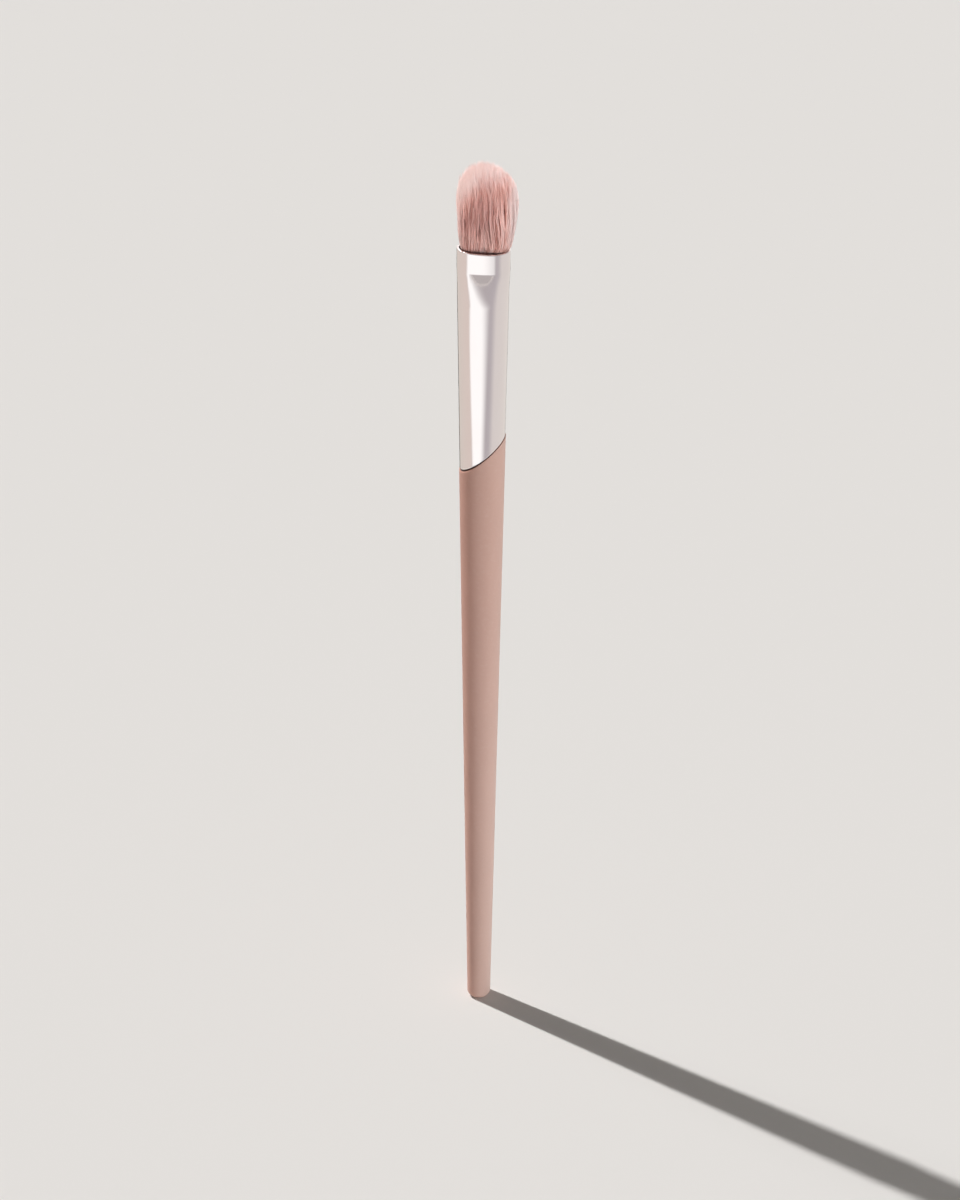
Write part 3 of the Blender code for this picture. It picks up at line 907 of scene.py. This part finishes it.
def fibre_mesh(name, spine, thick, reach, tone, share):
    """Skins the spines: three sides, a closed foot and a pointed tip."""
    count, rings = spine.shape[:2]
    turns = np.arange(FIBRE_SIDES)[None, :] * math.tau / FIBRE_SIDES
    spin = rng.uniform(0, math.tau, count)[:, None] + turns
    ring_out = np.stack([np.cos(spin), np.sin(spin), np.zeros_like(spin)], 2)
    body = spine[:, :-1, None, :] + ring_out[:, None, :, :] * thick[None, :-1, None, None]
    body = body.reshape(count, -1, 3)
    corners = np.concatenate([body, spine[:, -1:, :]], 1)
    each = corners.shape[1]
    offsets = np.arange(count)[:, None, None] * each
    faces = []
    for shapes in fibre_faces(rings, each):
        numbers = np.array(shapes)
        faces += (numbers[None] + offsets).reshape(-1, numbers.shape[1]).tolist()
    mesh = bpy.data.meshes.new(name)
    mesh.from_pydata(corners.reshape(-1, 3).tolist(), [], faces)
    along = np.append(np.repeat(share[:-1], FIBRE_SIDES), 1.0)
    body_tone = np.repeat(tone[:, :-1], FIBRE_SIDES, axis=1)
    for label, values in (
        ("along", np.tile(along, count)),
        ("reach", np.repeat(reach, each)),
        ("shade", np.concatenate([body_tone, tone[:, -1:]], 1).ravel()),
    ):
        layer = mesh.attributes.new(label, "FLOAT", "POINT")
        layer.data.foreach_set("value", values.astype(np.float32))
    mesh.shade_flat()
    piece = bpy.data.objects.new(name, mesh)
    bpy.context.scene.collection.objects.link(piece)
    return piece


def make_head():
    spine, thick, reach, tone, share = grow_fibres()
    finish = fibre_finish()
    for name, low, high in HEAD_LAYERS:
        here = (reach >= low) & (reach < high)
        piece = fibre_mesh(name, spine[here], thick, reach[here], tone[here], share)
        give_finish(piece, finish)
        tell_frame(piece, "bristle_tuft")


def dress_inner_solids():
    give_finish(frame["nodes"]["resin_plug"], resin_finish())
    give_finish(frame["nodes"]["binding_thread"], thread_finish())


# The studio
CAMERA_AZIMUTH = math.radians(6.5)
CAMERA_ELEVATION = math.radians(35)
CAMERA_DISTANCE = 1.081
CAMERA_AIM = Vector((0, 0, 0.087))
CAMERA_ROLL = math.radians(0.36)
FOCAL_PIXELS = 6231
FRAME_HEIGHT = 1200
SENSOR = 36
SHIFT_PIXELS = 1.2

FLOOR_SIZE = 12
FLOOR_TONE = (0.785, 0.765, 0.742, 1)

# Lamps: a sun with a little haze round it, and three that each light only some of the meshes
SHADOW_WAY = Vector((0.885, -0.4656, 0))
SUN_ELEVATION = math.radians(53)
SUNS = (("sun", 2.75, math.radians(1.0)), ("haze", 0.2, math.radians(7)))  # strength and angle
SIDE_LAMP_SPOT = (56, 1.0, 0.22)  # degrees right of the way to the camera, distance and height
SIDE_LAMP_AIM = Vector((0, 0, 0.09))
SIDE_LAMP_TONE = (0.83, 1.18, 1.32)
HEAD_LAMP_SIDE = -18  # degrees right of the way to the camera
HEAD_LAMP_ELEVATION = math.radians(72)
HEAD_LAMP_DISTANCE = 0.6
HEAD_LAMP_AIM = Vector((0, 0, 0.165))
FLOOR_LAMP_ANGLE = math.radians(20)

# Cards that only reflections see: distance and height of both edges, and the degrees they pass
LOW_CARD_EDGES = ((0.02, 0.4 * MM), (3.0, 0.4 * MM))
LOW_CARD_TURN = range(-180, 181, 2)
BACK_CARD_EDGES = ((0.8, 0.25), (0.8, 1.6))
BACK_CARD_TURN = range(110, 251, 4)
BACK_CARD_TONE = (1.15, 1.13, 1.12, 1)
WHITE_SHEET_TONE = (1.13, 1.17, 1.18)

# Tones of the low card round the brush, by degrees right of the way to the camera
LOW_CARD_TONES = (
    (-180, (0.11, 0.10, 0.095)),
    (-156, (0.13, 0.12, 0.11)),
    (-146, (0.70, 0.66, 0.61)),
    (-61, (0.74, 0.66, 0.62)),
    (-30, (0.50, 0.475, 0.49)),
    (16, (0.485, 0.465, 0.49)),
    (30, (0.52, 0.50, 0.525)),
    (49, (0.72, 0.70, 0.69)),
    (140, (0.78, 0.76, 0.73)),
    (162, (0.55, 0.53, 0.50)),
    (180, (0.35, 0.33, 0.30)),
)

# The world: what lights the object, what the camera sees and what the gloss mirrors
SKY = ((1.0, 0.93, 0.87, 1), 0.10)
PLAIN = ((0.76, 0.737, 0.709, 1), 1.0)
GLOSS = ((0.50, 0.48, 0.485, 1), 1.0)


def set_camera():
    data = bpy.data.cameras.new("camera")
    camera = bpy.data.objects.new("camera", data)
    bpy.context.scene.collection.objects.link(camera)
    across = math.cos(CAMERA_ELEVATION)
    back = Vector((
        math.sin(CAMERA_AZIMUTH) * across,
        -math.cos(CAMERA_AZIMUTH) * across,
        math.sin(CAMERA_ELEVATION),
    ))
    right = Vector((math.cos(CAMERA_AZIMUTH), math.sin(CAMERA_AZIMUTH), 0))
    up = back.cross(right)
    rolled_right = right * math.cos(CAMERA_ROLL) + up * math.sin(CAMERA_ROLL)
    rolled_up = up * math.cos(CAMERA_ROLL) - right * math.sin(CAMERA_ROLL)
    turn = Matrix((rolled_right, rolled_up, back)).transposed().to_4x4()
    camera.matrix_world = Matrix.Translation(CAMERA_AIM + back * CAMERA_DISTANCE) @ turn
    data.sensor_width = SENSOR
    data.lens = FOCAL_PIXELS / FRAME_HEIGHT * SENSOR
    data.shift_x = -SHIFT_PIXELS / FRAME_HEIGHT
    data.clip_start = 0.05
    data.clip_end = 20
    bpy.context.scene.camera = camera


def lay_floor():
    put_down()
    bpy.ops.mesh.primitive_plane_add(size=FLOOR_SIZE, location=(0, 0, 0))
    floor = newest("floor")
    bench = FinishBench("pale_floor")
    give_finish(floor, bench.set(Base_Color=FLOOR_TONE, Roughness=0.9, Specular_IOR_Level=0.0))


def from_camera(degrees):
    """World angle of a direction that lies degrees to the right of the way to the camera."""
    return CAMERA_AZIMUTH - math.pi / 2 + math.radians(degrees)


def spot_round_brush(degrees, distance, height):
    """A spot that lies degrees to the right of the way to the camera, seen from the brush."""
    angle = from_camera(degrees)
    return Vector((math.cos(angle) * distance, math.sin(angle) * distance, height))


def white_sheet(bench, ahead, aside, degrees):
    """1 on the white sheet ahead of the brush, 0 off it; its right edge bends and softens.

    Places are in mm: ahead towards the camera, aside to the right.
    """
    past_bend = bench.above(ahead - 205, 0.0)
    far_side = 87.0 - ahead * 0.31 + past_bend * 0.55
    edge = bench.below(far_side, 236.0 - ahead * 0.77)
    near_side = (ahead - 163) * 0.2 + 2 + bench.above(ahead - 202, 0.0) * 1.3
    edge = bench.below(edge, near_side)
    beyond = past_bend * 0.3
    fade = ahead * 0.26 + beyond + bench.below(beyond, 14.0)
    white = bench.fall((aside - edge) / fade, -1, 1) * bench.rise(ahead, 111, 132)
    far_off = bench.rise(bench.distance(ahead, aside), 228, 255)
    return white * bench.rise(degrees - far_off * 8, -65, -55)


def low_card_finish():
    """White ahead, grey beside it, plain floor to the right, warm at the left, dark behind."""
    bench = FinishBench("low_card_glow")
    x, y = bench.part_of_place("X") / MM, bench.part_of_place("Y") / MM
    start = from_camera(0)
    ahead = x * math.cos(start) + y * math.sin(start)
    aside = y * math.cos(start) - x * math.sin(start)
    degrees = bench.maths("ARCTAN2", aside, ahead) * (360 / math.tau)
    stops = [(angle / 360 + 0.5, colour) for angle, colour in LOW_CARD_TONES]
    around = bench.node("ShaderNodeValToRGB", {"stops": stops}, {0: degrees / 360 + 0.5})
    white = white_sheet(bench, ahead, aside, degrees)
    return bench.glow(bench.blend(white, around, WHITE_SHEET_TONE))


def lay_card(name, edges, turn, finish):
    """A strip round the brush, one face for each step of the turn, that only reflections see."""
    spots = [spot_round_brush(degrees, *edge) for degrees in turn for edge in edges]
    faces = [(i, i + 2, i + 3, i + 1) for i in range(0, len(spots) - 2, 2)]
    mesh = bpy.data.meshes.new(name)
    mesh.from_pydata(spots, [], faces)
    card = bpy.data.objects.new(name, mesh)
    bpy.context.scene.collection.objects.link(card)
    card.visible_camera = False
    card.visible_diffuse = False
    card.visible_transmission = False
    card.visible_volume_scatter = False
    card.visible_shadow = False
    give_finish(card, finish)


def lay_cards():
    """One card lies on the floor all round the brush, and one stands behind it."""
    lay_card("low_card", LOW_CARD_EDGES, LOW_CARD_TURN, low_card_finish())
    white = FinishBench("back_card_glow").glow(BACK_CARD_TONE)
    lay_card("back_card", BACK_CARD_EDGES, BACK_CARD_TURN, white)


def lit_group(name, wanted):
    """A collection of the meshes that a lamp is kept to."""
    group = bpy.data.collections.new(name)
    for piece in bpy.data.objects:
        if piece.type == "MESH" and wanted(piece):
            group.objects.link(piece)
    return group


def hang_lamp(name, kind, **settings):
    data = bpy.data.lights.new(name, kind)
    for key, value in settings.items():
        setattr(data, key, value)
    lamp = bpy.data.objects.new(name, data)
    bpy.context.scene.collection.objects.link(lamp)
    return lamp


def aim_lamp(lamp, spot, aim):
    lamp.location = spot
    lamp.rotation_euler = (aim - spot).to_track_quat("-Z", "Y").to_euler()


def keep_lamp_to(lamp, wanted):
    """Keeps the lamp to some meshes and out of reflections."""
    lamp.visible_glossy = False
    lamp.light_linking.receiver_collection = lit_group(f"lit_by_{lamp.name}", wanted)


def hang_suns():
    down = Vector((0, 0, math.sin(SUN_ELEVATION)))
    way = SHADOW_WAY.normalized() * math.cos(SUN_ELEVATION) - down
    for name, strength, angle in SUNS:
        sun = hang_lamp(name, "SUN", energy=strength, angle=angle)
        sun.rotation_euler = way.to_track_quat("-Z", "Y").to_euler()


def hang_side_lamp():
    """Lights the brush from its right, low down."""
    lamp = hang_lamp(
        "side_lamp",
        "AREA",
        shape="RECTANGLE",
        size=0.5,
        size_y=0.34,
        energy=6.0,
        color=SIDE_LAMP_TONE,
    )
    aim_lamp(lamp, spot_round_brush(*SIDE_LAMP_SPOT), SIDE_LAMP_AIM)
    keep_lamp_to(lamp, lambda piece: piece.name != "floor")


def hang_head_lamp():
    """For the fibres alone, in place of light that fine hair lets through to its shaded side."""
    lamp = hang_lamp("head_lamp", "AREA", shape="DISK", size=0.25, energy=6.5)
    across = HEAD_LAMP_DISTANCE * math.cos(HEAD_LAMP_ELEVATION)
    height = HEAD_LAMP_AIM.z + HEAD_LAMP_DISTANCE * math.sin(HEAD_LAMP_ELEVATION)
    aim_lamp(lamp, spot_round_brush(HEAD_LAMP_SIDE, across, height), HEAD_LAMP_AIM)
    keep_lamp_to(lamp, lambda piece: piece.name.startswith("fibres_"))


def hang_floor_lamp():
    """An even fill for the floor alone, in its shadow too, in place of a sky."""
    lamp = hang_lamp("floor_lamp", "SUN", energy=0.38, angle=FLOOR_LAMP_ANGLE)
    keep_lamp_to(lamp, lambda piece: piece.name == "floor")
    lamp.light_linking.blocker_collection = lamp.light_linking.receiver_collection


def set_world():
    world = bpy.data.worlds.new("studio")
    world.use_nodes = True
    bpy.context.scene.world = world
    tree = world.node_tree
    sky = tree.nodes["Background"]
    plain = tree.nodes.new("ShaderNodeBackground")
    gloss = tree.nodes.new("ShaderNodeBackground")
    for node, (colour, strength) in ((sky, SKY), (plain, PLAIN), (gloss, GLOSS)):
        node.inputs["Color"].default_value = colour
        node.inputs["Strength"].default_value = strength
    path = tree.nodes.new("ShaderNodeLightPath")
    seen = tree.nodes.new("ShaderNodeMath")
    seen.operation = "MAXIMUM"
    lit_or_mirrored = tree.nodes.new("ShaderNodeMixShader")
    behind = tree.nodes.new("ShaderNodeMixShader")
    for source, target in (
        (path.outputs["Is Camera Ray"], seen.inputs[0]),
        (path.outputs["Is Transmission Ray"], seen.inputs[1]),
        (path.outputs["Is Glossy Ray"], lit_or_mirrored.inputs[0]),
        (sky.outputs[0], lit_or_mirrored.inputs[1]),
        (gloss.outputs[0], lit_or_mirrored.inputs[2]),
        (seen.outputs[0], behind.inputs[0]),
        (lit_or_mirrored.outputs[0], behind.inputs[1]),
        (plain.outputs[0], behind.inputs[2]),
        (behind.outputs[0], tree.nodes["World Output"].inputs[0]),
    ):
        tree.links.new(source, target)


def main():
    put_down()
    turn_handle()
    press_ferrule()
    make_glued_root()
    make_head()
    dress_inner_solids()
    set_camera()
    lay_floor()
    lay_cards()
    hang_suns()
    hang_side_lamp()
    hang_head_lamp()
    hang_floor_lamp()
    set_world()
    bpy.context.scene.view_settings.view_transform = "Standard"


main()
